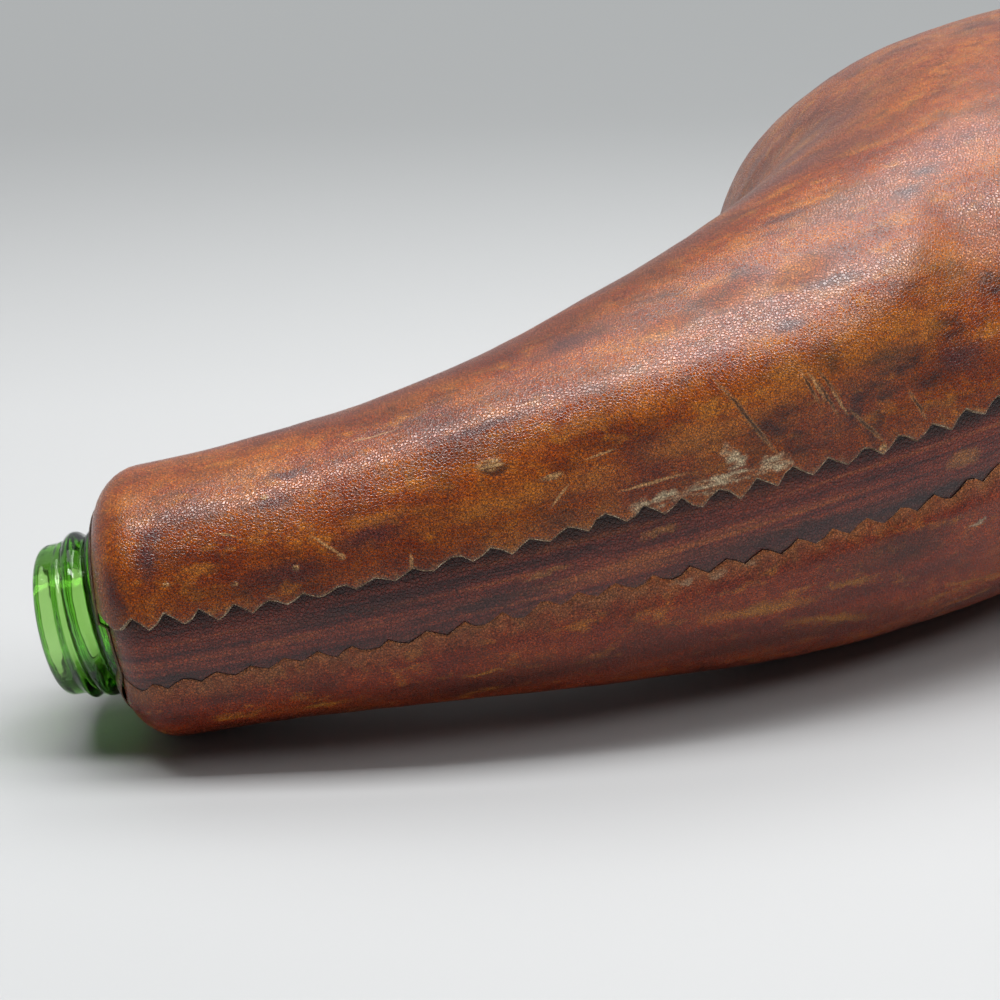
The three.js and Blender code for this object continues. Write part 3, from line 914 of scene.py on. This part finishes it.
sole_top = bmesh.ops.extrude_face_region(sole_blank, geom=sole_blank.faces[:])
top_verts = [item for item in sole_top["geom"] if isinstance(item, bmesh.types.BMVert)]
bmesh.ops.translate(sole_blank, vec=(0, 0, sole_thickness), verts=top_verts)
rim_edges = [
    edge for edge in sole_blank.edges if all(vert.co.z > sole_thickness / 2 for vert in edge.verts)]
bmesh.ops.bevel(
    sole_blank, geom=rim_edges, offset=sole_rim, segments=5, profile=0.5, affect="EDGES", material=-1)
bmesh.ops.recalc_face_normals(sole_blank, faces=sole_blank.faces)
flat = sole_blank.loops.layers.uv.new("laid_flat")
for face in sole_blank.faces:
    for loop in face.loops:
        loop[flat].uv = loop.vert.co.xy
sole_place = Matrix((sole_across, sole_upward, sole_outward)).transposed().to_4x4()
sole_place.translation = sole_middle
bmesh.ops.transform(sole_blank, matrix=sole_place, verts=sole_blank.verts)
bmesh.ops.recalc_face_normals(sole_blank, faces=sole_blank.faces)
sole_tones = (
    (0.36, (0.020, 0.009, 0.007)), (0.46, (0.060, 0.020, 0.010)), (0.55, (0.13, 0.045, 0.016)),
    (0.66, (0.27, 0.13, 0.06)))
sole_hide = Hide(
    "burnished_sole_leather", sole_tones, streaks=(16, 4, 0.0), shares=(0.35, 0.3, 0.2, 0.15),
    grain_size=0.0007)
sole_leather = sole_hide.finished(relief=0.0001, gloss=0.6)
make_piece("base_sole_leather", sole_blank, [sole_leather], "base_sole")

# Table, light and camera. A white table top that sweeps up behind the bottle, with four soft
# lamps hung above it. The camera looks down on the bottle's near side, close to the neck.
table_half_width = 20.0
table_front = -20.0
sweep_start = 0.55
sweep_radius = 0.35
sweep_top = 1.5
sweep_turns = 12
back_fade = (0.10, 0.75)
side_fade = (0.40, 1.0)
table_profile = [(table_front, 0)]
for i in range(sweep_turns + 1):
    turn = quarter * i / sweep_turns
    sweep_rise = sweep_radius * (1 - math.cos(turn))
    table_profile.append((sweep_start + sweep_radius * math.sin(turn), sweep_rise))
table_profile.append((sweep_start + sweep_radius, sweep_top))


def table_corner(row, column):
    y, z = table_profile[row]
    return table_half_width * (2 * column - 1), y, z


def seen_rays(tree):
    """One for what the camera sees, straight or in gloss and glass, and none for light on the bottle."""
    rays = add_node(tree, "LightPath").outputs
    mirrored = maths(tree, "ADD", rays["Is Glossy Ray"], rays["Is Transmission Ray"])
    return maths(tree, "MINIMUM", maths(tree, "ADD", rays["Is Camera Ray"], mirrored), 1.0)


table_sheet, _ = laid_sheet(len(table_profile) - 1, 1, table_corner)
table_mesh = bpy.data.meshes.new("table_top")
table_sheet.to_mesh(table_mesh)
table_sheet.free()
table_mesh.shade_smooth()
table = bpy.data.objects.new("table_top", table_mesh)
bpy.context.scene.collection.objects.link(table)
table_white, tree = new_finish("white_table")
table_shader = add_node(tree, "BsdfPrincipled", {"Base Color": (0.57, 0.58, 0.585, 1), "Roughness": 0.6})
table_place = add_node(tree, "TexCoord").outputs["Object"]
behind = add_node(tree, "SeparateXYZ", {0: table_place}).outputs["Y"]
around = add_node(tree, "VectorMath", {0: table_place}, operation="LENGTH").outputs["Value"]
far_off = maths(tree, "MAXIMUM", spread_range(tree, behind, *back_fade),
                spread_range(tree, around, *side_fade))
faded = maths(tree, "MULTIPLY", seen_rays(tree), far_off)
pale_wall = add_node(tree, "Emission", {"Color": (0.43, 0.445, 0.45, 1), "Strength": 1.0})
table_look = add_node(tree, "MixShader", {0: faded, 1: table_shader.outputs[0], 2: pale_wall.outputs[0]})
add_node(tree, "OutputMaterial", {"Surface": table_look.outputs[0]})
table_mesh.materials.append(table_white)

room_fade = (0.07, 0.14)
room_glow = 0.04
room_paleness = 0.45
studio = bpy.data.worlds.new("studio")
bpy.context.scene.world = studio
studio.use_nodes = True
tree = studio.node_tree
tree.nodes.clear()
room_direction = add_node(tree, "TexCoord").outputs["Generated"]
room_height = add_node(tree, "SeparateXYZ", {0: room_direction}).outputs["Z"]
room_wall = maths(tree, "MULTIPLY", seen_rays(tree), spread_range(tree, room_height, *room_fade, 1.0, 0.0))
room_strength = spread_range(tree, room_wall, 0.0, 1.0, room_glow, room_paleness)
room_light = add_node(tree, "Background", {"Color": (0.95, 0.98, 1.0, 1), "Strength": room_strength})
add_node(tree, "OutputWorld", {"Surface": room_light.outputs[0]})


def hang_lamp(name, width, depth, watts, place, aim):
    light = bpy.data.lights.new(name, "AREA")
    light.shape = "RECTANGLE"
    light.size, light.size_y = width, depth
    light.energy = watts
    lamp = bpy.data.objects.new(name, light)
    lamp.location = place
    lamp.rotation_euler = (Vector(aim) - Vector(place)).to_track_quat("-Z", "Y").to_euler()
    bpy.context.scene.collection.objects.link(lamp)


hang_lamp("overhead_lamp", width=1.0, depth=0.17, watts=6.8, place=(0, -0.09, 0.78), aim=(0, -0.09, 0))
hang_lamp("back_lamp", width=1.1, depth=0.34, watts=2.2, place=(-0.02, 0.25, 0.8), aim=(-0.02, 0.25, 0))
hang_lamp("corner_lamp", width=0.32, depth=0.36, watts=1.6, place=(0.26, 0.34, 0.8), aim=(0.06, 0, 0))
hang_lamp("side_lamp", width=0.42, depth=0.3, watts=2.0, place=(0.54, -0.33, 0.78), aim=(0, 0, 0))

camera_data = bpy.data.cameras.new("photo_view")
camera_data.lens = 61.2
camera_data.sensor_width = 36.0
camera = bpy.data.objects.new("photo_view", camera_data)
camera.location = (-0.08047, -0.32266, 0.13845)
camera_aim = Vector((-0.05973, -0.07257, 0.03955))
camera.rotation_euler = (camera_aim - camera.location).to_track_quat("-Z", "Y").to_euler()
bpy.context.scene.collection.objects.link(camera)
bpy.context.scene.camera = camera
bpy.context.scene.view_settings.view_transform = "Standard"
